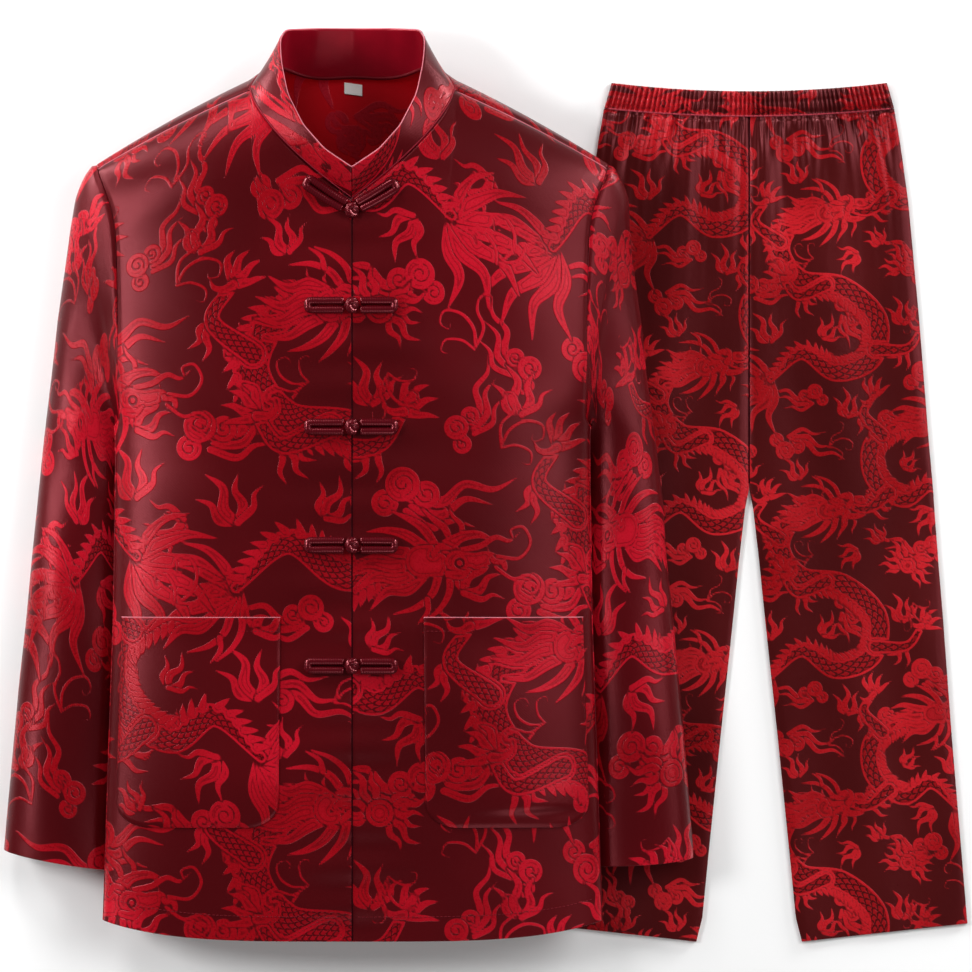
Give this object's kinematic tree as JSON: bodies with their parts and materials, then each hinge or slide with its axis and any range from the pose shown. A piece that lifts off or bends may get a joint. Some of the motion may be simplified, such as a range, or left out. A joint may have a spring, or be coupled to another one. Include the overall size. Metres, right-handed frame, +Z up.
{
  "type": "tai chi uniform",
  "caption": "Tai chi suit laid out: a long-sleeved jacket with a stand collar, frog closures and patch pockets, beside flat trousers with a gathered elastic waist.",
  "frame": {"origin": "on the surface the set lies on, under the middle of the set's outline", "axes": "+X from the jacket towards the trousers, +Y from hem to neck, +Z up off the surface"},
  "size_m": [0.8704, 0.8252, 0.1109],
  "materials": {
    "jacket_damask": "satin damask",
    "trouser_damask": "satin damask",
    "frog_cord": "satin cord",
    "label_tape": "matte tape"
  },
  "bodies": {
    "root": {"front_left": "jacket_damask", "front_right": "jacket_damask", "jacket_back": "jacket_damask", "sleeve_left": "jacket_damask", "sleeve_right": "jacket_damask", "collar": "jacket_damask", "pocket_left": "jacket_damask", "pocket_right": "jacket_damask", "frog_1_left": "frog_cord", "frog_1_right": "frog_cord", "frog_1_knot": "frog_cord", "frog_2_left": "frog_cord", "frog_2_right": "frog_cord", "frog_2_knot": "frog_cord", "frog_3_left": "frog_cord", "frog_3_right": "frog_cord", "frog_3_knot": "frog_cord", "frog_4_left": "frog_cord", "frog_4_right": "frog_cord", "frog_4_knot": "frog_cord", "frog_5_left": "frog_cord", "frog_5_right": "frog_cord", "frog_5_knot": "frog_cord", "label": "label_tape", "trouser_front_left": "trouser_damask", "trouser_front_right": "trouser_damask", "trouser_back_left": "trouser_damask", "trouser_back_right": "trouser_damask", "waistband": "trouser_damask"}
  },
  "joints": []
}
